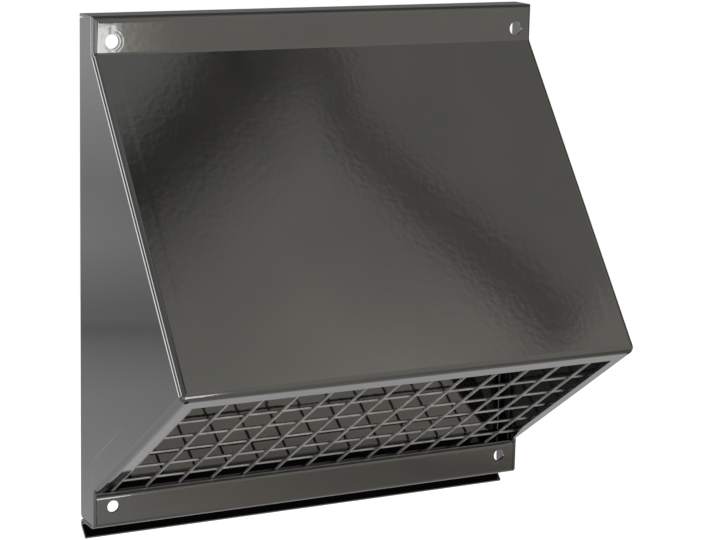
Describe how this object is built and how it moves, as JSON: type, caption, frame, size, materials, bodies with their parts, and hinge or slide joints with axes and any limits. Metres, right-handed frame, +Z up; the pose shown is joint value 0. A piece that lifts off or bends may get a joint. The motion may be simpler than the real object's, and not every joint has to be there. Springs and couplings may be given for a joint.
{
  "type": "wall vent hood",
  "caption": "Folded sheet wall vent hood with a sloped front, a down-facing mouth closed by a welded wire guard, and a back plate with a round duct collar.",
  "frame": {"origin": "on the duct axis, where it meets the face of the wall", "axes": "+X across the hood to the right as seen from the front, +Y into the wall along the duct, +Z up"},
  "size_m": [0.17, 0.132, 0.1824],
  "materials": {
    "coated_sheet": "high gloss powder coat with faint orange peel",
    "coated_collar": "high gloss powder coat",
    "zinc_wire": "zinc coated wire, a little dulled"
  },
  "bodies": {
    "root": {"hood_shell": "coated_sheet", "bottom_rail": "coated_sheet", "back_plate": "coated_sheet", "duct_collar": "coated_collar", "long_wire_01": "zinc_wire", "long_wire_02": "zinc_wire", "long_wire_03": "zinc_wire", "long_wire_04": "zinc_wire", "long_wire_05": "zinc_wire", "long_wire_06": "zinc_wire", "long_wire_07": "zinc_wire", "long_wire_08": "zinc_wire", "long_wire_09": "zinc_wire", "long_wire_10": "zinc_wire", "long_wire_11": "zinc_wire", "long_wire_12": "zinc_wire", "long_wire_13": "zinc_wire", "cross_wire_1": "zinc_wire", "cross_wire_2": "zinc_wire", "cross_wire_3": "zinc_wire", "cross_wire_4": "zinc_wire", "cross_wire_5": "zinc_wire", "cross_wire_6": "zinc_wire"}
  },
  "joints": []
}
